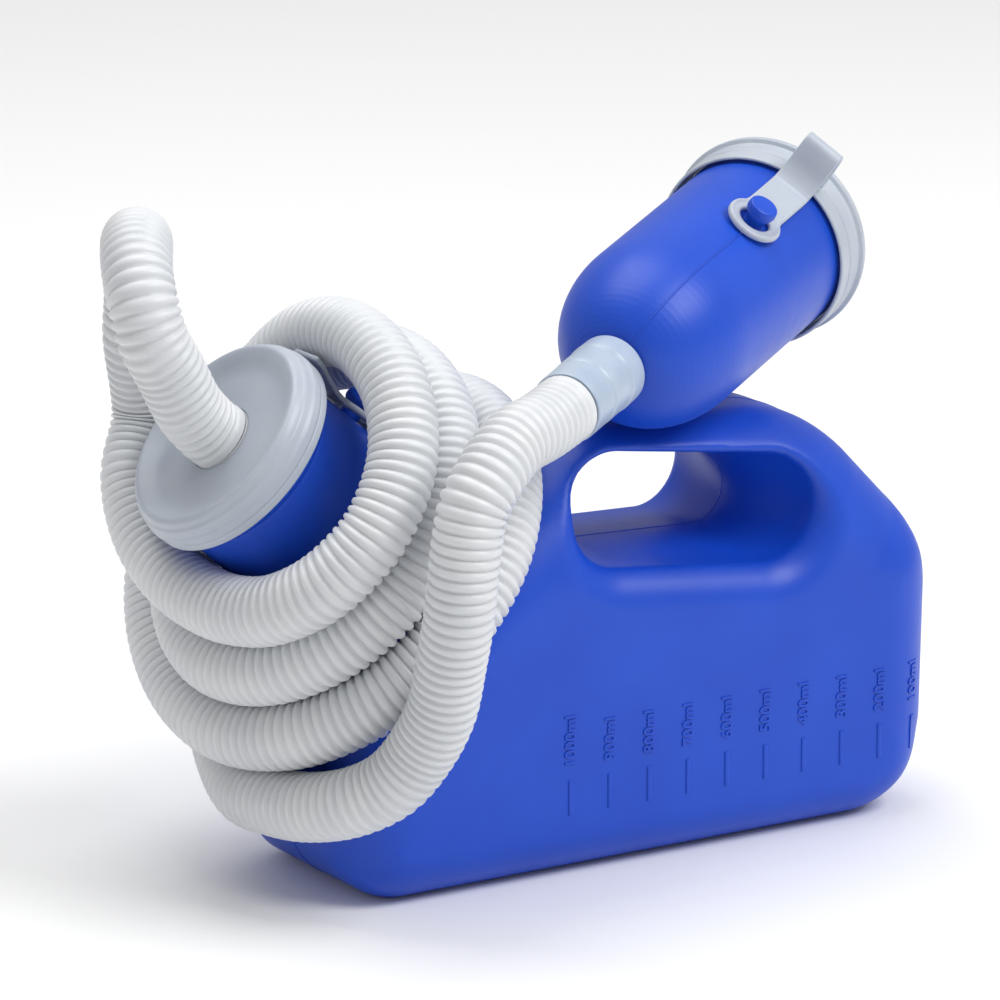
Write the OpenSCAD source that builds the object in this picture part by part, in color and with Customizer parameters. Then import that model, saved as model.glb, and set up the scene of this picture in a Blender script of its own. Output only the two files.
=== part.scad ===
// Urine bottle with a drain hose and a receiving cup.
// Millimetres. +Z is up, +X points to the closed round end, +Y to the back.
// The origin is the centre of the flat base that the bottle stands on.

/* [Bottle] */
// Half of the bottle's thickness, front to back
body_half = 43; // [38:0.5:48]
// Wall of the blow-moulded bottle
body_wall = 1.5; // [1:0.1:2.5]
// Rounding between the bottle's flat sides and its outline
edge_round = 24; // [12:1:26]
// Rounding round the base
foot_round = 16; // [8:1:18]
// Rounding along the top, over the hand opening
crown_round = 32; // [24:1:32]
// Height of the slanted shoulder's upper corner
crown_height = 149; // [145:0.5:151]

/* [Neck] */
// Angle of the neck above the horizontal
neck_tilt = 41.5; // [38:0.5:45]
// Outside radius of the lip at the neck's mouth, under its cap
lip_r = 33.8; // [33:0.1:34]
// Outside radius of the neck below the lip
neck_r = 31.6; // [31:0.1:32.5]

/* [Handle] */
// Outline of the hand opening in mid-plane: radius of its neck end
grip_r_left = 16.5; // [14:0.5:18]
// Radius of its closed end
grip_r_right = 12.5; // [10:0.5:14]
// How much the opening has widened where it meets the bottle's sides
grip_flare = 1.42; // [1.2:0.01:1.45]

/* [Volume marks] */
// Number of raised marks
mark_count = 10; // [5:1:10]
// Distance between marks
mark_step = 15.4; // [14:0.1:15.5]
// Length of a mark
mark_length = 12; // [8:1:14]

/* [Bottle cap] */
// Outside radius of the cap
cap_r = 37; // [36.6:0.1:38]
// Depth of the cap over the neck
cap_depth = 13; // [10:0.5:13.5]
// Wall of the cap's skirt
cap_wall = 2.4; // [1.8:0.1:2.6]

/* [Cup] */
// Outside radius of the cup
cup_r = 31.4; // [30:0.1:31.6]
// Length of the cup from its cap's face to the tip of its dome
cup_length = 127.3; // [122:0.1:130]
// Wall of the cup
cup_wall = 1.5; // [1.2:0.1:2]
// Angle of the cup's mouth above the horizontal
cup_tilt = 8.5; // [7:0.5:9]
// Angle of the cup to the bottle's length, seen from above
cup_yaw = 32; // [30:0.5:34]

/* [Cup cap] */
// Outside radius of the skirt of the cup's cap
lid_r = 34; // [33.6:0.1:34.4]
// How far the rim of the cup's cap stands out from its skirt
lid_rim = 1.6; // [0.8:0.1:2]
// Depth of the cap over the cup
lid_depth = 17; // [15:0.5:18]

/* [Straps] */
// Width of a strap
strap_w = 14; // [12:0.5:16]
// Thickness of a strap
strap_t = 1.6; // [1.2:0.1:2]
// Radius of the eye that hooks over a stud
eye_r = 10; // [9:0.5:11]

/* [Hose] */
// Outside radius of the corrugated hose
hose_r = 11.5; // [11:0.1:11.5]
// Wall of the hose, its corrugations evened out
hose_wall = 1.1; // [0.9:0.1:2]
// Length of the smooth cuff at the cup
cuff_length = 35; // [32:1:36]

/* [Hidden] */

blue = [0.08, 0.25, 0.80];
milky = [0.90, 0.93, 0.96, 0.8];
white = [0.96, 0.96, 0.95];

// Where the middle of the bottle cap's face is, and the middle of the cup cap's face
cap_face = [-148, 0, 157.5];
cup_face = [81, 20, 191];

// Discs whose hull is the bottle: place, radius, half thickness and edge rounding of each
discs = [
    [-96, 22, 23, body_half, foot_round],
    [77, 34, 35, body_half, foot_round],
    [57, 54, 56, body_half, edge_round],
    [64, 78, 44, body_half, edge_round],
    [38, 82, 59, body_half - 1, crown_round],
    [14, 96, 51, body_half - 1, crown_round],
    [-11, crown_height - 33, 33, body_half - 2, crown_round],
    [-91, 58, 28, body_half, edge_round]
];

// Outer profile of the neck: distance below the cap's face, and radius
neck_top = 5.6;
neck_profile = [[neck_top, lip_r], [12.5, lip_r], [13.5, lip_r - 0.8], [16, lip_r - 0.8],
                [17.5, neck_r], [40, neck_r + 0.6], [50, neck_r + 1.4], [62, 36], [74, 40],
                [86, 46], [94, 52]];

// Hand opening: middle of each end's arc in the mid-plane, and the middle it widens from
grip_left = [-11, 119.5];
grip_right = [36, 113.5];
grip_mid = [12, 117];
grip_straight = 30;

// Plate of a cap: recess below the rim's face, and thickness
plate_drop = 3;
plate_t = 2;
seal_t = 0.6;
fit = 0.3;

// Cup's dome: where it starts, as distance from the cap's face, radius of its blunt end, and
// pieces in its curve. Its spigot: radius and length
dome_at = 90;
dome_flat = 7;
dome_steps = 12;
spigot_r = 9.8;
spigot_length = 22;

// Studs that the straps hook over: distance from the cap's face
neck_stud_at = 39;
cup_stud_at = 54;
strap_turn = 216;
stud_stem = 4;
stud_head = 6.3;

// Coil round the neck: each turn's distance below the cap's face, and its radius
coil_turns = [[29, 58], [51, 63], [72, 70]];
coil_web = 4;
coil_offset = -4;
coil_tilt = 12.5;

// Free hose from the bottle's cap, over and down to the coil
inlet_route = [[-146, 0, 155.7], [-151, 0, 160], [-158, -1, 168], [-165, -3, 180],
               [-172, -4, 192], [-174, -1, 204], [-171, 8, 213], [-164, 21, 217],
               [-156, 34, 214], [-151, 43, 205], [-148, 48, 192], [-147, 51, 178],
               [-146, 54, 165]];
// Free hose from the coil, under and up in front of it to the cup
outlet_route = [[-135, 5, 35], [-135, -13, 35], [-132, -31, 37], [-126, -48, 42],
                [-118, -60, 50], [-112, -68, 62], [-109, -76, 77], [-109, -82, 94],
                [-109, -87, 111], [-108, -89, 130], [-105, -89, 146], [-97, -87, 156],
                [-85, -81, 163], [-70, -74, 165], [-56, -66, 167]];

// Points of an arc from angle a0 to a1
function arc(c, r, a0, a1, n) =
    [for (k = [0:n]) let (a = a0 + (a1 - a0) * k / n) c + r * [cos(a), sin(a)]];

// Half section of a disc with a rounded rim, for rotate_extrude
function disc_section(r, half, edge) = concat(
    [[0, -half]], arc([r - edge, edge - half], edge, -90, 0, 6),
    arc([r - edge, half - edge], edge, 0, 90, 6), [[0, half]]);

// Two arcs and the straight lines that touch both
function two_arcs(a, ra, b, rb) =
    let (way = b - a, lean = atan2(way[1], way[0]), open = acos((ra - rb) / norm(way)))
    concat(arc(a, ra, lean + open, lean + 360 - open, 20), arc(b, rb, lean - open, lean + open, 16));

// Middle of a thin strip, offset to each side, as a closed outline
function side(p, i, d) =
    let (a = p[max(i - 1, 0)], b = p[min(i + 1, len(p) - 1)], w = (b - a) / norm(b - a))
    p[i] + d * [-w[1], w[0]];
function strip(p, t) = concat(
    [for (i = [0:len(p) - 1]) side(p, i, t / 2)],
    [for (i = [len(p) - 1:-1:0]) side(p, i, -t / 2)]);

// Frames carried along a route, without twist
function heading(p, i) =
    let (w = p[min(i + 1, len(p) - 1)] - p[max(i - 1, 0)]) w / norm(w);
function square_to(n, w) = (n - (n * w) * w) / norm(n - (n * w) * w);
function normals(p, i, n) = i == len(p) ? []
    : let (m = square_to(n, heading(p, i))) concat([m], normals(p, i + 1, m));
function ring(p, w, n, r, sides) =
    [for (k = [0:sides - 1]) p + r * (cos(360 * k / sides) * n + sin(360 * k / sides) * cross(w, n))];

// One hollow tube swept along a route
module tube(route, r, wall, sides = 12) {
    count = len(route);
    across = normals(route, 0, [0.1, 1, 0]);
    points = [for (i = [0:count - 1]) for (q = concat(
        ring(route[i], heading(route, i), across[i], r, sides),
        ring(route[i], heading(route, i), across[i], r - wall, sides))) q];
    outer = [for (i = [0:count - 2]) for (k = [0:sides - 1])
        let (a = 2 * sides * i, m = (k + 1) % sides)
        each [[a + k, a + 2 * sides + k, a + m], [a + m, a + 2 * sides + k, a + 2 * sides + m]]];
    inner = [for (f = outer) [f[0] + sides, f[2] + sides, f[1] + sides]];
    last = 2 * sides * (count - 1);
    ends = [for (k = [0:sides - 1]) let (m = (k + 1) % sides)
        each [[k, m, sides + k], [m, sides + m, sides + k],
              [last + k, last + sides + k, last + m], [last + m, last + sides + k, last + sides + m]]];
    polyhedron(points, concat(outer, inner, ends), convexity = 8);
}

// Local frames: +Z leaves the mouth, the origin is the middle of the cap's face
module on_neck() {
    translate(cap_face) rotate([0, neck_tilt - 90, 0]) children();
}
module on_cup() {
    translate(cup_face) rotate([0, 0, cup_yaw]) rotate([0, 90 - cup_tilt, 0]) children();
}

// Hull of the discs, cut flat to stand on
module slab(shrink) {
    intersection() {
        hull() {
            for (d = discs) {
                translate([d[0], 0, d[1]]) rotate([90, 0, 0]) rotate_extrude($fn = 48)
                    polygon(disc_section(d[2] - shrink, d[3] - shrink, d[4] - shrink));
            }
        }
        translate([-200, -100, shrink]) cube([400, 200, 200]);
    }
}

// Widening hand opening, one half each side of the mid-plane
module grip(grow) {
    outline = [for (q = two_arcs(grip_left, grip_r_left + grow, grip_right, grip_r_right + grow))
        q - grip_mid];
    inner_scale = 1 + (grip_flare - 1) * 0.35;
    for (way = [0, 1]) {
        translate([grip_mid[0], 0, grip_mid[1]]) mirror([0, way, 0]) rotate([90, 0, 0]) {
            linear_extrude(height = grip_straight + 0.01, scale = inner_scale) polygon(outline);
            translate([0, 0, grip_straight])
                linear_extrude(height = body_half - grip_straight + 1, scale = grip_flare / inner_scale)
                    scale(inner_scale) polygon(outline);
        }
    }
}

module neck(shrink, from) {
    on_neck() rotate_extrude($fn = 96) polygon(concat(
        [[0, -from]], [[neck_profile[0][1] - shrink, -from]],
        [for (k = [1:len(neck_profile) - 1]) [neck_profile[k][1] - shrink, -neck_profile[k][0]]],
        [[0, -neck_profile[len(neck_profile) - 1][0]]]));
}

// Stud with a conical head, standing on a surface at radius r
module stud(r, gap) {
    rotate([0, 90, 0]) {
        translate([0, 0, r - 2]) cylinder(r = stud_stem, h = gap + 3, $fn = 32);
        translate([0, 0, r + gap + 0.5])
            cylinder(r1 = stud_head, r2 = stud_head - 1.8, h = 4.5, $fn = 32);
    }
}

module volume_marks() {
    for (k = [0:mark_count - 1]) {
        x = -39 + mark_step * k;
        translate([x - 0.5, -body_half - 0.4, 22]) cube([1, 3, mark_length]);
    }
}

// Neck, trimmed to the bottle's thickness where it widens into the shoulder
module trimmed_neck(shrink, from) {
    intersection() {
        neck(shrink, from);
        translate([-250, shrink - body_half, 0]) cube([400, 2 * (body_half - shrink), 300]);
    }
}

module bottle_body() {
    color(blue) difference() {
        union() {
            slab(0);
            trimmed_neck(0, neck_top);
            volume_marks();
            on_neck() translate([0, 0, -neck_stud_at]) stud(neck_r + 0.6, 3.8);
        }
        difference() {
            union() {
                slab(body_wall);
                trimmed_neck(body_wall, neck_top - 1);
            }
            grip(body_wall);
        }
        grip(0);
    }
}

// Cap: raised rim, recessed plate with a hole, and a skirt over the neck
module cap_shell(r, rim, depth, wall, hole) {
    rotate_extrude($fn = 96) polygon([
        [hole, -plate_drop - plate_t], [hole, -plate_drop], [r - 4.2, -plate_drop], [r - 3.2, 0],
        [r + rim - 0.8, 0], [r + rim, -1], [r + rim, -2.6], [r, -3.6],
        [r, -depth], [r - wall, -depth], [r - wall, -plate_drop - plate_t]]);
}

module bottle_cap() {
    color(milky) on_neck() {
        cap_shell(cap_r, 0.5, cap_depth, cap_wall, hose_r + 0.1);
        translate([cap_r - 1, -strap_w / 2, -cap_depth]) cube([1.9, strap_w, 5]);
    }
}

module bottle_cap_seal() {
    color(white) on_neck() translate([0, 0, -plate_drop - plate_t - seal_t]) difference() {
        cylinder(r = lip_r, h = seal_t, $fn = 96);
        translate([0, 0, -1]) cylinder(r = lip_r - 6, h = seal_t + 2, $fn = 96);
    }
}

// Flat strap with an eye at one end, drawn in a cap's local frame.
// path holds radius and height; the eye is flat, at the path's first point.
module strap(path, eye_at) {
    rotate([90, 0, 0]) translate([0, 0, -strap_w / 2])
        linear_extrude(height = strap_w) polygon(strip(path, strap_t));
    translate([path[0][0], 0, eye_at]) rotate([0, 90, 0]) difference() {
        cylinder(r = eye_r, h = strap_t, center = true, $fn = 64);
        cylinder(r = stud_stem + 1, h = strap_t + 2, center = true, $fn = 48);
    }
}

module bottle_cap_strap() {
    path = [[34.2, -neck_stud_at + 8], [34.8, -26], [36.4, -21], [38.2, -16], [39, -12.4]];
    color(milky) on_neck() strap(path, -neck_stud_at);
}

// End piece of the hose, held in the cap's hole by a flange under the plate
module hose_collar() {
    color(white) on_neck() rotate_extrude($fn = 64) polygon([
        [hose_r - 2.2, -plate_drop], [hose_r, -plate_drop], [hose_r, -plate_drop - plate_t],
        [hose_r + 4, -plate_drop - plate_t], [hose_r + 4, -plate_drop - plate_t - 2],
        [hose_r - 0.4, -plate_drop - plate_t - 2], [hose_r - 0.4, -18], [hose_r - 2.2, -18]]);
}

module hose_inlet() {
    color(white) tube(inlet_route, hose_r, hose_wall);
}

// Turns side by side, joined where they touch
module hose_coil() {
    middles = [for (turn = coil_turns) [turn[1], -turn[0]]];
    pivot = [coil_offset, 0, -coil_turns[1][0]];
    color(white) on_neck() translate(pivot) rotate([coil_tilt, 0, 0]) translate([0, 0, -pivot[2]])
        rotate_extrude($fn = 96) difference() {
            union() {
                for (m = middles) translate(m) circle(r = hose_r, $fn = 40);
                polygon(strip(middles, coil_web));
            }
            for (m = middles) translate(m) circle(r = hose_r - hose_wall, $fn = 40);
        }
}

module hose_outlet() {
    color(white) tube(outlet_route, hose_r, hose_wall);
}

module hose_cuff() {
    start = -cup_length - 0.3;
    end = start - cuff_length;
    color(milky) on_cup() rotate_extrude($fn = 64) polygon([
        [10.1, start], [12.2, start], [12.2, start - 9], [11.6, start - 9.6], [12.2, start - 10.2],
        [12.2, start - 21], [11.6, start - 21.6], [12.2, start - 22.2], [12.0, end],
        [10.1, end]]);
}

// Outline of the cup's dome down to its spigot, grown outwards by out
function dome(out) = [for (k = [0:dome_steps]) let (a = 81 * k / dome_steps)
    [dome_flat - cup_wall + out + (cup_r - dome_flat) * cos(a),
     -dome_at - (cup_length - dome_at - cup_wall + out) * sin(a)]];

module cup_body() {
    rim = -plate_drop - plate_t - seal_t;
    outer = dome(cup_wall);
    inner = dome(0);
    bore_r = spigot_r - cup_wall;
    color(blue) on_cup() {
        rotate_extrude($fn = 96) polygon(concat(
            [[cup_r - cup_wall, rim], [cup_r + 0.3, rim], [cup_r + 0.3, rim - 3], [cup_r, rim - 3.6]],
            outer,
            [[spigot_r, outer[dome_steps][1]], [spigot_r, -cup_length - spigot_length],
             [bore_r, -cup_length - spigot_length], [bore_r, inner[dome_steps][1]]],
            [for (k = [dome_steps:-1:0]) inner[k]]));
        rotate([0, 0, strap_turn]) translate([0, 0, -cup_stud_at]) difference() {
            stud(cup_r, 2.6);
            cylinder(r = cup_r - cup_wall / 2, h = 60, center = true, $fn = 96);
        }
    }
}

module cup_cap() {
    color(milky) on_cup() {
        cap_shell(lid_r, lid_rim, lid_depth, 1.3, 0);
        rotate([0, 0, strap_turn]) translate([lid_r - 1, -strap_w / 2, -lid_depth])
            cube([2, strap_w, 4]);
    }
}

module cup_cap_seal() {
    color(white) on_cup() translate([0, 0, -plate_drop - plate_t - seal_t]) difference() {
        cylinder(r = cup_r, h = seal_t, $fn = 96);
        translate([0, 0, -1]) cylinder(r = cup_r - 5, h = seal_t + 2, $fn = 96);
    }
}

module cup_cap_strap() {
    path = [[32.9, -cup_stud_at + 8], [33.2, -28], [34.6, -23.5], [39, -20], [45, -18.2],
            [48.4, -16.8], [49, -14.6], [47, -13], [42, -12.4], [38, -12.8], [36.4, -14]];
    color(milky) on_cup() rotate([0, 0, strap_turn]) strap(path, -cup_stud_at);
}

bottle_body();
bottle_cap();
bottle_cap_seal();
bottle_cap_strap();
hose_collar();
hose_inlet();
hose_coil();
hose_outlet();
hose_cuff();
cup_body();
cup_cap();
cup_cap_seal();
cup_cap_strap();
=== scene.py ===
"""Urine bottle with a corrugated drain hose and a receiving cup.

Sizes and places are in millimetres and become metres where a mesh is made.
"""
import math

import bmesh
import bpy
import numpy as np
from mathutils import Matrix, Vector


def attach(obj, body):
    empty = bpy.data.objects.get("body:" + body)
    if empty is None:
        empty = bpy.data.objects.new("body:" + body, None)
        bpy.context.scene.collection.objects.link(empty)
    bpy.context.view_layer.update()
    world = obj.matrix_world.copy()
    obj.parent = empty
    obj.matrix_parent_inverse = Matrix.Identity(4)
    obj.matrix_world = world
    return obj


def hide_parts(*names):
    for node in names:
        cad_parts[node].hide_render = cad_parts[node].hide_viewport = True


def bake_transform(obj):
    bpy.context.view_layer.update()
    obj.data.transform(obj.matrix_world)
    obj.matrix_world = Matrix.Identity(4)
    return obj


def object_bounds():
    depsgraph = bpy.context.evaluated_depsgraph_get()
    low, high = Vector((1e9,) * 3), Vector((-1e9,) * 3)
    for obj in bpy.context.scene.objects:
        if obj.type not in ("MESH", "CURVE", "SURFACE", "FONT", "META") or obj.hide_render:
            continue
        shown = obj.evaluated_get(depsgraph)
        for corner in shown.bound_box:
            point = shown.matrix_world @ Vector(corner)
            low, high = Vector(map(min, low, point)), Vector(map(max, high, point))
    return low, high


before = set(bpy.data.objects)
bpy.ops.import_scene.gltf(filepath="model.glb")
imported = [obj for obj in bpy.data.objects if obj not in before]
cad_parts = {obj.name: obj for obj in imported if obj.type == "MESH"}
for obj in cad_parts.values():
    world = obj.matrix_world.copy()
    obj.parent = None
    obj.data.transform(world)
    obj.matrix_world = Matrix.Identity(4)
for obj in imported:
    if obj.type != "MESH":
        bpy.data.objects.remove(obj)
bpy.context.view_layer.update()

MM = 0.001

# Camera: distance and direction from the middle of the picture
VIEW_AZIMUTH = -32.0
VIEW_ELEVATION = 15.0
VIEW_DISTANCE = 2.5
VIEW_MIDDLE = (-0.0394, 0.0, 0.1196)
LENS = 272.7
SENSOR = 36.0

# Bottle
BODY_HALF = 43.0
EDGE_ROUND = 24.0
FOOT_ROUND = 17.0
CROWN_ROUND = 32.0
# Discs whose hull is the bottle's outline: x, z, radius
OUTLINE_DISCS = ((-97, 24, 24), (78, 34, 34), (70, 78, 43), (43, 86, 57), (-11, 115, 32.5),
                 (-91, 58, 28))
# Hand opening, in mid-plane and at its lip: end circles as x, z, radius
GRIP_MIDDLE = ((-11, 119.5, 16.5), (36, 113.5, 12.5))
GRIP_FRONT = ((-14, 120, 19), (43, 113, 18.5))
GRIP_BACK = ((-14, 120, 19), (36, 115.5, 16.5))
LIP_AT = 36.0
LIP_BEVEL = 8.0

# Neck
NECK_TILT = 41.5
CAP_FACE = (-148, 0, 157.5)
NECK_STUD_AT = 39.0
NECK_SURFACE = 31.9
NECK_WALL = 4.6

# Cup
CUP_FACE = (81, 20, 191)
CUP_TILT = 8.5
CUP_YAW = 32.0
CUP_R = 31.4
CUP_WALL = 1.5
CUP_LENGTH = 127.3
DOME_AT = 90.0
DOME_FLAT = 7.0
DOME_END = 81
SPIGOT_R = 9.8
SPIGOT_LENGTH = 22.0
PARTING_FROM = 20
CUP_STUD_AT = 54.0
STRAP_TURN = 216.0

# Straps
STRAP_WIDTH = 14.0
STRAP_THICK = 1.7
EYE_R = 9.7
EYE_HOLE = 5.6
STRAP_STEPS = 6

# Hose
HOSE_R = 11.5
VALLEY = 1.25
PITCH = 3.4
RINGS_PER_PITCH = 6
HOSE_SIDES = 30
PLAIN_END = 6.0

INLET_ROUTE = (
    (-146, 0, 155.7), (-151, 0, 160), (-158, -1, 168), (-165, -3, 180), (-172, -4, 192),
    (-174, -1, 204), (-171, 8, 213), (-164, 21, 217), (-156, 34, 214), (-151, 43, 205),
    (-148, 48, 192), (-147, 51, 178))
OUTLET_ROUTE = (
    (-135, 5, 35), (-135, -13, 35), (-132, -31, 37), (-126, -48, 42), (-118, -60, 50),
    (-112, -68, 62), (-109, -76, 77), (-109, -82, 94), (-109, -87, 111), (-108, -89, 130),
    (-105, -89, 146), (-97, -87, 156), (-85, -81, 163), (-70, -74, 165), (-56, -66, 167))
# The turns round the neck, each quarter turn from the back: distance from the neck's axis,
# and distance below the cap's face
TURN_RADII = (56, 44, 59, 52, 47, 57, 52, 57, 70, 72, 54, 60, 69, 80)
TURN_DEPTHS = (9, 32, 34, 18, 37, 52, 59, 46, 45, 70, 84, 78, 83, 92)
TURN_START = -90.0
TURN_END = 1061.0
TURN_STEP = 22.5

# Volume marks
MARK_COUNT = 10
MARK_FIRST = -39.0
MARK_SPACING = 15.4
MARK_LOW = 22.0
MARK_LENGTH = 12.0
MARK_WIDTH = 1.5
MARK_PROUD = 0.45
MARK_STEPS = 8
LABEL_GAP = 4.5
LABEL_SIZE = 6.0


# ---------------------------------------------------------------- camera

def add_camera():
    azimuth, elevation = math.radians(VIEW_AZIMUTH), math.radians(VIEW_ELEVATION)
    towards = Vector((math.sin(azimuth) * math.cos(elevation),
                      -math.cos(azimuth) * math.cos(elevation), math.sin(elevation)))
    data = bpy.data.cameras.new("camera")
    data.lens = LENS
    data.sensor_width = SENSOR
    data.clip_end = 50
    camera = bpy.data.objects.new("camera", data)
    camera.location = Vector(VIEW_MIDDLE) + towards * VIEW_DISTANCE
    camera.rotation_euler = towards.to_track_quat("Z", "Y").to_euler()
    bpy.context.scene.collection.objects.link(camera)
    bpy.context.scene.camera = camera


# ---------------------------------------------------------------- materials

def new_material(name, colour, roughness):
    material = bpy.data.materials.new(name)
    material.use_nodes = True
    shader = material.node_tree.nodes["Principled BSDF"]
    shader.inputs["Base Color"].default_value = (*colour, 1)
    shader.inputs["Roughness"].default_value = roughness
    return material, shader


def add_noise(material, scale, detail=3.0):
    """Noise in the object's own space, so it stays with the surface."""
    nodes, links = material.node_tree.nodes, material.node_tree.links
    place = nodes.new("ShaderNodeTexCoord")
    noise = nodes.new("ShaderNodeTexNoise")
    noise.inputs["Scale"].default_value = scale
    noise.inputs["Detail"].default_value = detail
    links.new(place.outputs["Object"], noise.inputs["Vector"])
    return noise


def vary_colour(material, shader, noise, low, high):
    nodes, links = material.node_tree.nodes, material.node_tree.links
    ramp = nodes.new("ShaderNodeValToRGB")
    ramp.color_ramp.elements[0].position = 0.3
    ramp.color_ramp.elements[0].color = (*low, 1)
    ramp.color_ramp.elements[1].position = 0.7
    ramp.color_ramp.elements[1].color = (*high, 1)
    links.new(noise.outputs["Fac"], ramp.inputs["Fac"])
    links.new(ramp.outputs["Color"], shader.inputs["Base Color"])


def vary_roughness(material, shader, noise, low, high):
    nodes, links = material.node_tree.nodes, material.node_tree.links
    spread = nodes.new("ShaderNodeMapRange")
    spread.inputs["To Min"].default_value = low
    spread.inputs["To Max"].default_value = high
    links.new(noise.outputs["Fac"], spread.inputs["Value"])
    links.new(spread.outputs["Result"], shader.inputs["Roughness"])


def add_grain(material, shader, noise, strength, depth):
    nodes, links = material.node_tree.nodes, material.node_tree.links
    bump = nodes.new("ShaderNodeBump")
    bump.inputs["Strength"].default_value = strength
    bump.inputs["Distance"].default_value = depth
    links.new(noise.outputs["Fac"], bump.inputs["Height"])
    links.new(bump.outputs["Normal"], shader.inputs["Normal"])


def blue_plastic():
    material, shader = new_material("blue_plastic", (0.005, 0.060, 0.50), 0.40)
    broad = add_noise(material, 28)
    vary_colour(material, shader, broad, (0.004, 0.056, 0.48), (0.006, 0.066, 0.53))
    vary_roughness(material, shader, add_noise(material, 160), 0.36, 0.46)
    shader.inputs["Specular IOR Level"].default_value = 0.4
    add_grain(material, shader, add_noise(material, 1500, 2.0), 0.10, 0.0002)
    shader.inputs["Subsurface Weight"].default_value = 0.05
    shader.inputs["Subsurface Radius"].default_value = (0.001, 0.002, 0.006)
    return material


def milky_plastic():
    material, shader = new_material("milky_plastic", (0.58, 0.63, 0.71), 0.36)
    broad = add_noise(material, 60)
    vary_colour(material, shader, broad, (0.55, 0.60, 0.69), (0.61, 0.66, 0.73))
    vary_roughness(material, shader, add_noise(material, 220), 0.30, 0.42)
    add_grain(material, shader, add_noise(material, 1200, 2.0), 0.08, 0.0002)
    shader.inputs["Transmission Weight"].default_value = 0.30
    shader.inputs["IOR"].default_value = 1.45
    shader.inputs["Subsurface Weight"].default_value = 0.25
    shader.inputs["Subsurface Radius"].default_value = (0.003, 0.003, 0.004)
    return material


def white_hose():
    material, shader = new_material("white_hose", (0.64, 0.655, 0.675), 0.42)
    broad = add_noise(material, 45)
    vary_colour(material, shader, broad, (0.62, 0.637, 0.66), (0.67, 0.682, 0.695))
    vary_roughness(material, shader, add_noise(material, 260), 0.36, 0.48)
    add_grain(material, shader, add_noise(material, 1400, 2.0), 0.06, 0.0002)
    shader.inputs["Subsurface Weight"].default_value = 0.3
    shader.inputs["Subsurface Radius"].default_value = (0.003, 0.003, 0.003)
    return material


def clear_cuff():
    material, shader = new_material("clear_cuff", (0.56, 0.66, 0.80), 0.30)
    broad = add_noise(material, 90)
    vary_colour(material, shader, broad, (0.52, 0.63, 0.78), (0.62, 0.71, 0.83))
    add_grain(material, shader, add_noise(material, 900, 2.0), 0.06, 0.0002)
    shader.inputs["Transmission Weight"].default_value = 0.35
    shader.inputs["Subsurface Weight"].default_value = 0.2
    shader.inputs["Subsurface Radius"].default_value = (0.002, 0.003, 0.004)
    return material


def seal_rubber():
    material, shader = new_material("seal_rubber", (0.62, 0.62, 0.60), 0.7)
    vary_roughness(material, shader, add_noise(material, 300), 0.62, 0.8)
    add_grain(material, shader, add_noise(material, 900), 0.15, 0.0002)
    return material


def floor_surface():
    material, shader = new_material("floor_surface", (0.90, 0.90, 0.90), 0.6)
    vary_roughness(material, shader, add_noise(material, 4), 0.55, 0.7)
    return material


# ---------------------------------------------------------------- places

class Place:
    """A local frame: an origin and three axes, in millimetres."""

    def __init__(self, origin, across, axis):
        self.origin = np.array(origin, float)
        z = np.array(axis, float)
        z /= np.linalg.norm(z)
        x = np.array(across, float)
        x -= z * (x @ z)
        x /= np.linalg.norm(x)
        self.axes = np.array((x, np.cross(z, x), z))

    def out(self, points):
        return self.origin + np.asarray(points, float) @ self.axes

    def into(self, points):
        return (np.asarray(points, float) - self.origin) @ self.axes.T

    def turned(self, degrees):
        """The same place, turned about its own axis."""
        a = math.radians(degrees)
        across = math.cos(a) * self.axes[0] + math.sin(a) * self.axes[1]
        return Place(self.origin, across, self.axes[2])

    def sideways(self, radius, height):
        """A place on the side, whose axis points outwards."""
        return Place(self.out((radius, 0, height)), self.axes[2], self.axes[0])


tilt = math.radians(NECK_TILT)
NECK = Place(CAP_FACE, (math.sin(tilt), 0, math.cos(tilt)), (-math.cos(tilt), 0, math.sin(tilt)))
lean, yaw = math.radians(CUP_TILT), math.radians(CUP_YAW)
CUP = Place(CUP_FACE, (0, 0, -1), (math.cos(lean) * math.cos(yaw), math.cos(lean) * math.sin(yaw),
                                   math.sin(lean)))
CUP_SIDE = CUP.turned(STRAP_TURN)


# ---------------------------------------------------------------- meshes

def make_object(name, points, faces, material, sharp=None):
    mesh = bpy.data.meshes.new(name)
    mesh.from_pydata((np.asarray(points) * MM).tolist(), [], faces)
    mesh.polygons.foreach_set("use_smooth", [True] * len(mesh.polygons))
    if sharp:
        mesh.set_sharp_from_angle(angle=math.radians(sharp))
    mesh.materials.append(material)
    thing = bpy.data.objects.new(name, mesh)
    bpy.context.scene.collection.objects.link(thing)
    return thing


def clean(thing):
    """Merges points that lie on each other and turns all faces outwards."""
    work = bmesh.new()
    work.from_mesh(thing.data)
    bmesh.ops.remove_doubles(work, verts=work.verts, dist=0.005 * MM)
    bmesh.ops.recalc_face_normals(work, faces=work.faces)
    work.to_mesh(thing.data)
    work.free()
    return thing


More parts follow.
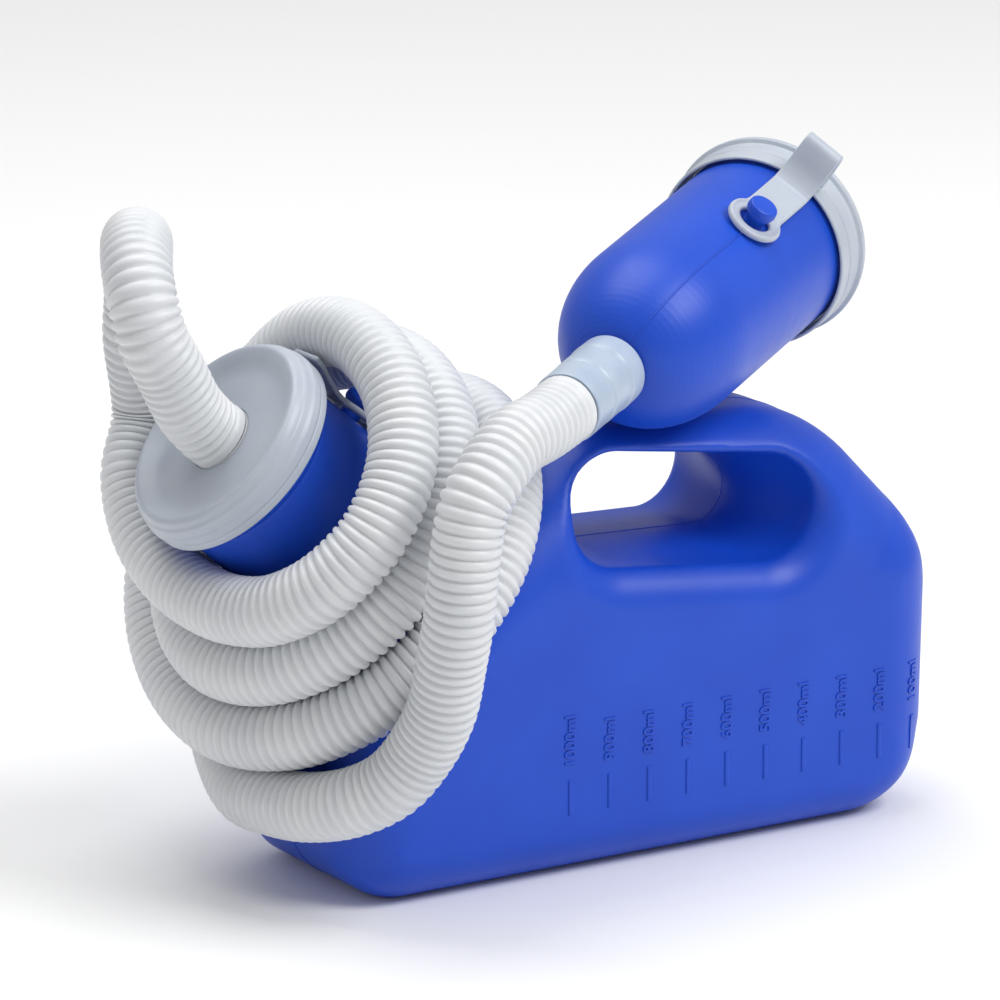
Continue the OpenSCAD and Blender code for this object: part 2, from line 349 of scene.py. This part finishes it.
def rounded(corners, steps=5):
    """Closed outline with each corner (r, z, rounding) eased, and supports beside the curves."""
    points = np.array([c[:2] for c in corners], float)
    eased = []
    for i, (here, ease) in enumerate(zip(points, (c[2] for c in corners))):
        before, after = points[i - 1], points[(i + 1) % len(points)]
        if not ease:
            eased.append(here)
            continue
        reach = [min(ease, 0.48 * np.linalg.norm(p - here)) / np.linalg.norm(p - here)
                 for p in (before, after)]
        start, end = here + (before - here) * reach[0], here + (after - here) * reach[1]
        for u in np.linspace(0, 1, steps + 1):
            eased.append((1 - u) ** 2 * start + 2 * u * (1 - u) * here + u ** 2 * end)
    outline = []
    for here, after in zip(eased, eased[1:] + eased[:1]):
        outline.append(here)
        length = np.linalg.norm(after - here)
        if length > 1.5:
            outline.append(here + (after - here) * 0.25 / length)
            outline.append(after - (after - here) * 0.25 / length)
    return np.array(outline)


def revolved(place, outline, steps=144):
    """Points and faces of a closed outline of (radius, height) turned about a place's axis."""
    count = len(outline)
    turn = np.linspace(0, 2 * math.pi, steps, endpoint=False)
    r, z = outline[:, 0], outline[:, 1]
    points = np.stack([np.outer(np.cos(turn), r), np.outer(np.sin(turn), r),
                       np.tile(z, (steps, 1))], 2).reshape(-1, 3)
    faces = [(count * a + i, count * b + i, count * b + j, count * a + j)
             for a, b in ((k, (k + 1) % steps) for k in range(steps))
             for i, j in ((k, (k + 1) % count) for k in range(count))]
    return place.out(points), faces


def turned_piece(name, place, outline, material, sharp=35):
    points, faces = revolved(place, outline)
    thing = clean(make_object(name, points, faces, material))
    thing.data.polygons.foreach_set("use_smooth", [True] * len(thing.data.polygons))
    thing.data.set_sharp_from_angle(angle=math.radians(sharp))
    return thing


def swept(points, section, across, closed=False):
    """Points and faces of a section of (side, height) carried along a line."""
    points = np.asarray(points, float)
    ahead = np.roll(points, -1, 0) - np.roll(points, 1, 0)
    if not closed:
        ahead[0], ahead[-1] = points[1] - points[0], points[-1] - points[-2]
    ahead /= np.linalg.norm(ahead, axis=1, keepdims=True)
    side = np.broadcast_to(np.array(across, float), points.shape)
    up = np.cross(side, ahead)
    rings = [points + s * side + h * up for s, h in section]
    count, sides = len(points), len(section)
    mesh_points = np.stack(rings, 1).reshape(-1, 3)
    last = count if closed else count - 1
    faces = [(sides * i + a, sides * ((i + 1) % count) + a, sides * ((i + 1) % count) + b, sides * i + b)
             for i in range(last) for a, b in ((k, (k + 1) % sides) for k in range(sides))]
    return mesh_points, faces


# ---------------------------------------------------------------- solids from distances

def smooth_min(a, b, ease):
    h = np.clip(0.5 + 0.5 * (b - a) / ease, 0, 1)
    return b + (a - b) * h - ease * h * (1 - h)


def smooth_max(a, b, ease):
    return -smooth_min(-a, -b, ease)


def smooth_step(low, high, x):
    u = np.clip((x - low) / (high - low), 0, 1)
    return u * u * (3 - 2 * u)


def surface_points(distance, low, high, cell):
    """Points and faces of the surface where distance(points) is zero, one point to a cell."""
    low, high = np.array(low, float), np.array(high, float)
    counts = np.ceil((high - low) / cell).astype(int) + 1
    axes = [low[i] + cell * np.arange(counts[i]) for i in range(3)]
    values = np.empty(counts)
    for i, x in enumerate(axes[0]):
        grid = np.stack(np.meshgrid([x], axes[1], axes[2], indexing="ij"), -1)
        values[i] = distance(grid.reshape(-1, 3)).reshape(counts[1], counts[2])
    inside = values < 0
    cells = counts - 1
    total = int(np.prod(cells))
    sums, hits, crossings = np.zeros((total, 3)), np.zeros(total), []
    for axis in range(3):
        first = [slice(None)] * 3
        second = [slice(None)] * 3
        first[axis], second[axis] = slice(None, -1), slice(1, None)
        a, b = values[tuple(first)], values[tuple(second)]
        at = np.argwhere(inside[tuple(first)] != inside[tuple(second)])
        va, vb = a[tuple(at.T)], b[tuple(at.T)]
        point = at.astype(float)
        point[:, axis] += va / (va - vb)
        u, v = (axis + 1) % 3, (axis + 2) % 3
        around = []
        for du, dv in ((0, 0), (1, 0), (1, 1), (0, 1)):
            corner = at.copy()
            corner[:, u] -= du
            corner[:, v] -= dv
            index = np.ravel_multi_index(tuple(corner.T), tuple(cells))
            around.append(index)
            for k in range(3):
                sums[:, k] += np.bincount(index, point[:, k], total)
            hits += np.bincount(index, minlength=total)
        crossings.append((np.stack(around, 1), va < 0))
    used = hits > 0
    number = np.cumsum(used) - 1
    points = low + cell * sums[used] / hits[used, None]
    faces = np.concatenate([np.where(out[:, None], number[quad], number[quad[:, ::-1]])
                            for quad, out in crossings])
    for _ in range(4):
        points = onto_surface(distance, points, cell / 2)
    return points, faces.tolist()


def onto_surface(distance, points, furthest, reach=0.05):
    """Moves points along the slope of the distance until it is zero, no further than a limit."""
    value = distance(points)
    slope = np.stack([(distance(points + d) - distance(points - d)) / (2 * reach)
                      for d in np.eye(3) * reach], 1)
    steep = np.maximum((slope ** 2).sum(1), 0.1)
    move = (value / steep)[:, None] * slope
    size = np.linalg.norm(move, axis=1, keepdims=True)
    return points - move * np.minimum(1, furthest / np.maximum(size, 1e-9))


def disc_hull(discs, step=3):
    """Outline round a set of discs (x, z, radius), anticlockwise."""
    turn = np.radians(np.arange(0, 360, step))
    cloud = np.concatenate([np.stack([x + r * np.cos(turn), z + r * np.sin(turn)], 1)
                            for x, z, r in discs])
    cloud = cloud[np.lexsort((cloud[:, 1], cloud[:, 0]))]
    halves = []
    for ordered in (cloud, cloud[::-1]):
        chain = []
        for p in ordered:
            while len(chain) > 1 and np.cross(chain[-1] - chain[-2], p - chain[-2]) <= 0:
                chain.pop()
            chain.append(p)
        halves += chain[:-1]
    return np.array(halves)


def outline_distance(x, z, outline):
    """Signed distance to a convex outline, negative inside."""
    ends = np.roll(outline, -1, 0)
    nearest, beyond = np.full(x.shape, np.inf), np.full(x.shape, -np.inf)
    for (ax, az), (bx, bz) in zip(outline, ends):
        ex, ez = bx - ax, bz - az
        length = math.hypot(ex, ez)
        u = np.clip(((x - ax) * ex + (z - az) * ez) / length ** 2, 0, 1)
        nearest = np.minimum(nearest, np.hypot(x - ax - u * ex, z - az - u * ez))
        beyond = np.maximum(beyond, ((x - ax) * ez - (z - az) * ex) / length)
    return np.where(beyond > 0, nearest, -nearest)


class Table:
    """A distance in the x-z plane, worked out once and read between grid points."""

    def __init__(self, outline, margin=30.0, cell=0.5):
        self.low = outline.min(0) - margin
        self.cell = cell
        counts = ((outline.max(0) + margin - self.low) / cell).astype(int) + 1
        x, z = np.meshgrid(*(self.low[i] + cell * np.arange(counts[i]) for i in (0, 1)), indexing="ij")
        self.values = outline_distance(x, z, outline)
        self.rise = np.gradient(self.values, cell, axis=1)

    def __call__(self, x, z, t=None):
        t = self.values if t is None else t
        u, v = (x - self.low[0]) / self.cell, (z - self.low[1]) / self.cell
        i = np.clip(u.astype(int), 0, t.shape[0] - 2)
        j = np.clip(v.astype(int), 0, t.shape[1] - 2)
        u, v = np.clip(u - i, 0, 1), np.clip(v - j, 0, 1)
        return ((t[i, j] * (1 - u) + t[i + 1, j] * u) * (1 - v)
                + (t[i, j + 1] * (1 - u) + t[i + 1, j + 1] * u) * v)


def egg_distance(x, z, first, second):
    """Distance to two circles (x, z, radius) and the lines that touch both."""
    (ax, az, ar), (bx, bz, br) = first, second
    h = np.hypot(bx - ax, bz - az)
    ux, uz = (bx - ax) / h, (bz - az) / h
    along = (x - ax) * ux + (z - az) * uz
    aside = np.abs((z - az) * ux - (x - ax) * uz)
    b = (ar - br) / h
    a = np.sqrt(1 - b * b)
    k = a * along - b * aside
    return np.where(k < 0, np.hypot(aside, along) - ar,
                    np.where(k > a * h, np.hypot(aside, along - h) - br, aside * a + along * b - ar))


# ---------------------------------------------------------------- bottle

BODY_OUTLINE = disc_hull(OUTLINE_DISCS)
body_table = Table(BODY_OUTLINE)


def grip_at(y):
    """End circles of the hand opening over a place front to back."""
    depth = np.abs(y)
    widen = smooth_step(0, LIP_AT, depth)
    bevel = LIP_BEVEL * np.clip((depth - LIP_AT + 2) / 9, 0, 2) ** 1.6
    circles = []
    for middle, front, back in zip(GRIP_MIDDLE, GRIP_FRONT, GRIP_BACK):
        x, z, r = (m + (np.where(y < 0, f, b) - m) * widen for m, f, b in zip(middle, front, back))
        circles.append((x, z, r + bevel))
    return circles


def bottle_distance(points):
    x, y, z = points.T
    depth = np.abs(y)
    rise = body_table(x, z, body_table.rise)
    ease = (EDGE_ROUND + (FOOT_ROUND - EDGE_ROUND) * smooth_step(0.2, 0.85, -rise)
            + (CROWN_ROUND - EDGE_ROUND) * smooth_step(0.2, 0.85, rise) * smooth_step(-60, -30, x))
    a = body_table(x, z) + ease
    b = depth - BODY_HALF + ease
    slab = np.minimum(np.maximum(a, b), 0) + np.hypot(np.maximum(a, 0), np.maximum(b, 0)) - ease
    local = NECK.into(points)
    radius, below = np.hypot(local[:, 0], local[:, 1]), -local[:, 2]
    wall = np.interp(below, (0, 17, 40, 50, 62, 74, 90), (31.6, 31.6, 32.2, 33, 35, 37.5, 41))
    neck = smooth_max(radius - wall, np.maximum(below - 88, 15 - below), 3)
    solid = smooth_min(slab, neck, 14)
    solid = smooth_max(solid, -egg_distance(x, z, *grip_at(y)), 4.5)
    bore = smooth_max(radius - wall + NECK_WALL, below - 60, 8)
    return smooth_max(solid, -bore, 0.8)


def front_of_bottle(x, z):
    """The y of the bottle's front surface over points in the x-z plane."""
    near, far = np.full(len(x), -60.0), np.full(len(x), -8.0)
    for _ in range(24):
        y = (near + far) / 2
        outside = bottle_distance(np.stack([x, y, z], 1)) > 0
        near, far = np.where(outside, y, near), np.where(outside, far, y)
    return (near + far) / 2


def stud_outline(base, head_at, head_r=5.3):
    """Stud with a flared head, from below a surface to its flat top."""
    return rounded([(0, base, 0), (3.6, base, 0), (3.4, head_at - 3.2, 1.0), (head_r, head_at, 1.0),
                    (head_r - 0.4, head_at + 2.8, 0.9), (0, head_at + 3.1, 0)])


def add_bottle(blue):
    low = (-165, -BODY_HALF - 3, -3)
    high = (117, BODY_HALF + 3, 176)
    points, faces = surface_points(bottle_distance, low, high, 1.5)
    lip = rounded([(30.2, -5.6, 0.6), (33.8, -5.6, 0.7), (33.8, -12.5, 0.4), (33.0, -13.5, 0.4),
                   (33.0, -16, 0.6), (31.9, -17.5, 0.5), (30.6, -18.4, 0), (30.2, -17, 0)])
    stud = stud_outline(NECK_SURFACE - 33, 6.4)
    parts = [(points, faces), revolved(NECK, lip),
             revolved(NECK.sideways(NECK_SURFACE, -NECK_STUD_AT), stud, 48)]
    all_points, all_faces = [], []
    start = 0
    for part_points, part_faces in parts:
        all_points.append(part_points)
        all_faces += [tuple(start + i for i in face) for face in part_faces]
        start += len(part_points)
    bottle = clean(make_object("bottle", np.concatenate(all_points), all_faces, blue))
    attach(bottle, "bottle")
    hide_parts("bottle_body")
    return bottle


def add_parting_lines(blue):
    """Mould lines in mid-plane: round the bottle, and inside the hand opening."""
    circles = [tuple(float(v) for v in c) for c in grip_at(np.array(0.0))]
    grip = disc_hull(circles, 4)
    section = ((-0.45, 0), (0, 0.22), (0.45, 0), (0, -0.22))
    for name, line in (("bottle_parting_line", BODY_OUTLINE), ("grip_parting_line", grip)):
        path = np.stack([line[:, 0], np.zeros(len(line)), line[:, 1]], 1)
        if name == "bottle_parting_line":
            local = NECK.into(path)
            clear = np.hypot(local[:, 0], local[:, 1]) > 40
            start = int(np.argmax(clear & ~np.roll(clear, 1)))
            path = np.roll(path, -start, 0)[:int(clear.sum())]
        points, faces = swept(path, section, (0, 1, 0), closed=name == "grip_parting_line")
        thing = clean(make_object(name, points, faces, blue))
        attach(thing, "bottle")


def mark_block(x, low):
    """Points and faces of one raised stroke with sloping sides: x, proud height, z."""
    points, faces = [], []
    half, top = MARK_WIDTH / 2, MARK_LENGTH
    rings = ((half + 0.15, 0, -0.3), (half, 0.1, MARK_PROUD - 0.12), (half - 0.15, 0.25, MARK_PROUD))
    for side, trim, proud in rings:
        for u in np.linspace(trim, top - trim, MARK_STEPS):
            points.append((x - side, proud, low + u))
        for u in np.linspace(top - trim, trim, MARK_STEPS):
            points.append((x + side, proud, low + u))
    count = 2 * MARK_STEPS
    for level in range(len(rings) - 1):
        for i in range(count):
            j = (i + 1) % count
            a = count * level
            faces.append((a + i, a + j, a + count + j, a + count + i))
    top_ring = (len(rings) - 1) * count
    faces += [(top_ring + i, top_ring + i + 1, top_ring + count - 2 - i, top_ring + count - 1 - i)
              for i in range(MARK_STEPS - 1)]
    return points, faces


def label(text, x, low):
    """Raised numerals that read upwards: x, proud height, z."""
    curve = bpy.data.curves.new("label", "FONT")
    curve.body = text
    curve.size = LABEL_SIZE
    curve.align_y = "CENTER"
    curve.extrude = 0.25
    curve.bevel_depth = 0.08
    curve.resolution_u = 3
    thing = bpy.data.objects.new("label", curve)
    mesh = bpy.data.meshes.new_from_object(thing)
    points = [(x - v.co.y, v.co.z + MARK_PROUD - 0.33, low + v.co.x) for v in mesh.vertices]
    faces = [tuple(f.vertices) for f in mesh.polygons]
    bpy.data.objects.remove(thing)
    bpy.data.curves.remove(curve)
    bpy.data.meshes.remove(mesh)
    return points, faces


def add_volume_marks(blue):
    points, faces = [], []
    for k in range(MARK_COUNT):
        x = MARK_FIRST + MARK_SPACING * k
        text = f"{100 * (MARK_COUNT - k)}ml"
        for part in (mark_block(x, MARK_LOW), label(text, x, MARK_LOW + MARK_LENGTH + LABEL_GAP)):
            faces += [tuple(len(points) + i for i in face) for face in part[1]]
            points += part[0]
    x, proud, z = np.array(points).T
    on_body = np.stack([x, front_of_bottle(x, z) - proud, z], 1)
    marks = make_object("volume_marks", on_body, faces, blue, sharp=40)
    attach(marks, "bottle")


# ---------------------------------------------------------------- caps, cup and cuff

def cap_outline(r, rim, depth, wall, hole):
    """Cap with a rounded rim round a sunk plate, and stepped bands down its skirt."""
    band = (depth - 5) / 2
    return rounded([
        (hole, -5, 0), (hole, -3, 0.3 if hole else 0), (r - 5.2, -3, 2.2), (r - 3.4, -0.2, 1.2),
        (r + rim - 0.5, 0, 1.4), (r + rim, -3.0, 0.7), (r - 0.2, -3.7, 0.4),
        (r, -4.4, 0.4), (r, -4.4 - band, 0.4), (r - 0.5, -4.9 - band, 0.3), (r - 0.1, -5.5 - band, 0.3),
        (r - 0.1, -depth + 0.7, 0.3), (r - 0.5, -depth, 0.3), (r - wall, -depth, 0.4), (r - wall, -5, 0.5)])


def add_bottle_cap(milky):
    outline = rounded([
        (11.7, -5, 0), (11.7, -3.4, 0.3), (26.5, -3.4, 3), (31, -0.8, 2), (33.2, 0, 1),
        (34.6, -0.9, 0.6), (35.2, -2.6, 0.6), (36.2, -3.4, 0.6), (36.6, -6, 0.6), (37.2, -6.8, 0.5),
        (37.3, -9.4, 0.4), (36.9, -10, 0.3), (37.1, -10.6, 0.3), (37.1, -12.6, 0.3), (36.7, -13, 0.3),
        (34.8, -13, 0.4), (34.8, -5, 0.5)])
    cap = turned_piece("bottle_cap_shell", NECK, outline, milky)
    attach(cap, "bottle_cap")
    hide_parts("bottle_cap")


def add_cup_cap(milky):
    cap = turned_piece("cup_cap_shell", CUP, cap_outline(34, 1.5, 17, 1.3, 0), milky)
    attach(cap, "cup_cap")
    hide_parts("cup_cap")


def add_cup(blue):
    arc = np.radians(np.linspace(0, DOME_END, 19))
    curve_r, curve_z = CUP_R - DOME_FLAT, CUP_LENGTH - DOME_AT
    outer = [(DOME_FLAT + curve_r * math.cos(a), -DOME_AT - curve_z * math.sin(a), 0) for a in arc]
    inner = [(r - CUP_WALL, z + CUP_WALL, 0) for r, z, _ in reversed(outer)]
    inner[-1] = (CUP_R - CUP_WALL, -DOME_AT, 0)
    spigot_end, bore_r = -CUP_LENGTH - SPIGOT_LENGTH, SPIGOT_R - CUP_WALL
    corners = ([(CUP_R - CUP_WALL, -5.6, 0.5), (CUP_R + 0.3, -5.6, 0.5), (CUP_R + 0.3, -8.6, 0.3),
                (CUP_R, -9.2, 0.3)] + outer
               + [(SPIGOT_R, outer[-1][1], 0.4), (SPIGOT_R, spigot_end, 0.5),
                  (bore_r, spigot_end, 0.5), (bore_r, inner[0][1], 0.3)]
               + inner)
    points, faces = revolved(CUP, rounded(corners, 4))
    stud_points, stud_faces = revolved(CUP_SIDE.sideways(CUP_R, -CUP_STUD_AT),
                                       stud_outline(-0.8, 6.0), 48)
    faces += [tuple(len(points) + i for i in face) for face in stud_faces]
    cup = clean(make_object("cup", np.concatenate([points, stud_points]), faces, blue))
    cup.data.set_sharp_from_angle(angle=math.radians(40))
    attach(cup, "cup")
    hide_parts("cup_body")
    for name, turn in (("cup_parting_line_front", 0), ("cup_parting_line_back", 180)):
        side = CUP_SIDE.turned(turn)
        line = [(CUP_R, 0, -z) for z in range(PARTING_FROM, int(DOME_AT) + 1, 2)]
        line += [(r, 0, z) for r, z, _ in outer[1:-1]]
        path = side.out(line)
        section = ((-0.4, 0), (0, 0.16), (0.4, 0), (0, -0.16))
        points, faces = swept(path, section, side.axes[1])
        thing = clean(make_object(name, points, faces, blue))
        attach(thing, "cup")


def add_cuff(clear):
    top = -CUP_LENGTH - 0.4
    outline = rounded([
        (10.1, top, 0.4), (12.2, top, 1.2), (12.4, top - 9.2, 0.8), (11.7, top - 10.2, 0.4),
        (12.1, top - 11.2, 0.6), (12.1, top - 21.6, 0.6), (11.6, top - 22.4, 0.4),
        (12.0, top - 23.2, 0.5), (12.0, top - 34.8, 0.9), (10.1, top - 34.8, 0.4)])
    cuff = turned_piece("hose_cuff_sleeve", CUP, outline, clear)
    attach(cuff, "cup")
    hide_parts("hose_cuff")


# ---------------------------------------------------------------- straps

def path_distance(a, b, path):
    """Distance to an open line of points in a plane."""
    nearest = np.full(a.shape, np.inf)
    for (pa, pb), (qa, qb) in zip(path[:-1], path[1:]):
        ea, eb = qa - pa, qb - pb
        u = np.clip(((a - pa) * ea + (b - pb) * eb) / (ea * ea + eb * eb), 0, 1)
        nearest = np.minimum(nearest, np.hypot(a - pa - u * ea, b - pb - u * eb))
    return nearest


def add_strap(name, place, path, eye_at, blend, node, milky):
    """Strap with an eye: path holds (distance from the axis, height), and starts at the eye."""
    line = curve_through(path, STRAP_STEPS)
    eye_x = path[0][0]

    def distance(points):
        x, y, z = points.T
        band = path_distance(x, z, line) - STRAP_THICK / 2 + 0.5
        edge = np.abs(y) - STRAP_WIDTH / 2 + 0.5
        corner = np.hypot(np.maximum(band, 0), np.maximum(edge, 0))
        belt = np.minimum(np.maximum(band, edge), 0) + corner - 0.5
        around = np.hypot(y, z - eye_at)
        disc = smooth_max(around - EYE_R, np.abs(x - eye_x) - STRAP_THICK / 2, 0.8)
        solid = smooth_min(belt, disc, 2.0)
        rim = np.hypot(around - EYE_R + 0.9, np.abs(x - eye_x - STRAP_THICK / 2)) - 0.5
        solid = smooth_min(solid, rim, 0.6)
        return smooth_max(solid, EYE_HOLE - around, 0.5)

    low = (line[:, 0].min() - 3, -EYE_R - 2, eye_at - EYE_R - 2)
    high = (line[:, 0].max() + 3, EYE_R + 2, line[:, 1].max() + 3)
    points, faces = surface_points(distance, low, high, 0.6)
    strap = clean(make_object(name, place.out(points), faces, milky))
    start, end = (place.out((path[0][0], 0, z)) * MM for z in blend)
    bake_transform(strap)
    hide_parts(node)


# ---------------------------------------------------------------- hose

def curve_through(points, steps):
    """Smooth curve through all the points, with steps pieces between neighbours."""
    points = np.asarray(points, float)
    around = np.concatenate([[2 * points[0] - points[1]], points, [2 * points[-1] - points[-2]]])
    curve = []
    for a, b, c, d in zip(around, around[1:], around[2:], around[3:]):
        for u in np.arange(steps) / steps:
            curve.append(0.5 * (2 * b + (c - a) * u + (2 * a - 5 * b + 4 * c - d) * u ** 2
                                + (3 * b - 3 * c + d - a) * u ** 3))
    curve.append(points[-1])
    return np.array(curve)


def turn_route():
    """Points of the turns, from their radius and depth at each quarter turn."""
    angles = np.arange(TURN_START, TURN_END, TURN_STEP)
    quarters = (angles - TURN_START) / 90
    per_quarter = 90
    shape = curve_through(np.stack([TURN_RADII, TURN_DEPTHS], 1), per_quarter)
    steps = np.round(quarters * per_quarter).astype(int)
    radius, depth = shape[steps].T
    turn = np.radians(angles)
    return NECK.out(np.stack([-radius * np.cos(turn), -radius * np.sin(turn), -depth], 1))


def resampled(curve, count):
    length = np.concatenate([[0], np.cumsum(np.linalg.norm(np.diff(curve, axis=0), axis=1))])
    at = np.linspace(0, length[-1], count)
    return np.stack([np.interp(at, length, curve[:, i]) for i in range(3)], 1), at


def hose_rings(centres, at):
    """Rings of the whole hose, with frames that don't twist."""
    ahead = np.gradient(centres, axis=0)
    ahead /= np.linalg.norm(ahead, axis=1, keepdims=True)
    across = np.array((0.1, 1.0, 0.0))
    turn = np.linspace(0, 2 * math.pi, HOSE_SIDES, endpoint=False)
    corrugation = (0.5 + 0.5 * np.cos(2 * math.pi * at / PITCH)) ** 2.5
    fade = smooth_step(0, PLAIN_END, at) * smooth_step(0, PLAIN_END, at[-1] - at)
    radii = HOSE_R - VALLEY * corrugation * fade
    rings = []
    for centre, way, r in zip(centres, ahead, radii):
        across = across - way * (across @ way)
        across /= np.linalg.norm(across)
        other = np.cross(way, across)
        rings.append(centre + r * (np.outer(np.cos(turn), across) + np.outer(np.sin(turn), other)))
    return np.array(rings)


def add_hose(white):
    turns = turn_route()
    route = np.concatenate([INLET_ROUTE, turns, OUTLET_ROUTE])
    steps = 12
    curve = curve_through(route, steps)
    length = np.linalg.norm(np.diff(curve, axis=0), axis=1).sum()
    count = int(length / PITCH * RINGS_PER_PITCH)
    centres, at = resampled(curve, count)
    rings = hose_rings(centres, at)
    lengths = np.concatenate([[0], np.cumsum(np.linalg.norm(np.diff(curve, axis=0), axis=1))])
    first = int(np.searchsorted(at, lengths[len(INLET_ROUTE) * steps]))
    second = int(np.searchsorted(at, lengths[(len(INLET_ROUTE) + len(turns)) * steps]))
    pieces = []
    for name, node, a, b in (("hose_in", "hose_inlet", 0, first),
                             ("hose_turns", "hose_coil", first, second),
                             ("hose_out", "hose_outlet", second, count - 1)):
        points = rings[a:b + 1].reshape(-1, 3)
        faces = [(HOSE_SIDES * i + p, HOSE_SIDES * i + q, HOSE_SIDES * (i + 1) + q,
                  HOSE_SIDES * (i + 1) + p)
                 for i in range(b - a) for p, q in ((k, (k + 1) % HOSE_SIDES) for k in range(HOSE_SIDES))]
        piece = make_object(name, points, faces, white)
        path = centres[a:b + 1:RINGS_PER_PITCH] * MM
        path = np.concatenate([path, centres[b:b + 1] * MM])
        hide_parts(node)
        pieces.append(piece)
    hose_in, hose_turns, hose_out = pieces
    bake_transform(hose_in)
    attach(hose_turns, "bottle")
    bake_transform(hose_out)


# ---------------------------------------------------------------- floor and light

def add_floor():
    floor_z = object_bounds()[0][2]
    half = 6.0
    mesh = bpy.data.meshes.new("floor")
    mesh.from_pydata([(-half, -half, floor_z), (half, -half, floor_z), (half, half, floor_z),
                      (-half, half, floor_z)], [], [(0, 1, 2, 3)])
    mesh.materials.append(floor_surface())
    floor = bpy.data.objects.new("floor", mesh)
    bpy.context.scene.collection.objects.link(floor)


def add_area_light(name, place, aim, size, power):
    data = bpy.data.lights.new(name, "AREA")
    data.shape = "SQUARE"
    data.size = size
    data.energy = power
    lamp = bpy.data.objects.new(name, data)
    lamp.location = place
    lamp.rotation_euler = (Vector(place) - Vector(aim)).to_track_quat("Z", "Y").to_euler()
    bpy.context.scene.collection.objects.link(lamp)


def add_light():
    world = bpy.data.worlds.new("studio")
    world.use_nodes = True
    background = world.node_tree.nodes["Background"]
    background.inputs["Color"].default_value = (1, 1, 1, 1)
    background.inputs["Strength"].default_value = 0.5
    bpy.context.scene.world = world
    bpy.context.scene.view_settings.view_transform = "Standard"
    add_area_light("key", (0.9, -1.3, 1.9), (0, 0, 0.1), 1.2, 38)
    add_area_light("top", (-0.2, 0.5, 2.0), (0, 0, 0.1), 1.4, 22)


# ---------------------------------------------------------------- the object

add_camera()
hose_white = white_hose()
add_hose(hose_white)

blue = blue_plastic()
milky = milky_plastic()
add_bottle(blue)
add_parting_lines(blue)
add_volume_marks(blue)
add_bottle_cap(milky)
add_cup(blue)
add_cup_cap(milky)
add_cuff(clear_cuff())
add_strap("neck_strap", NECK, [(34.2, -31), (34.8, -26), (36.4, -21), (38.2, -16), (39, -12.4)],
          -NECK_STUD_AT, (-31, -15), "bottle_cap_strap", milky)
add_strap("cup_strap", CUP_SIDE,
          [(32.9, -46), (33.2, -28), (34.6, -23.5), (39, -20), (45, -18.2), (48.4, -16.8),
           (49, -14.6), (47, -13), (42, -12.4), (38, -12.8), (35.6, -14)],
          -CUP_STUD_AT, (-40, -22), "cup_cap_strap", milky)

seal = seal_rubber()
for node, material in (("bottle_cap_seal", seal), ("cup_cap_seal", seal), ("hose_collar", hose_white)):
    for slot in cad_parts[node].material_slots:
        slot.material = material

add_floor()
add_light()
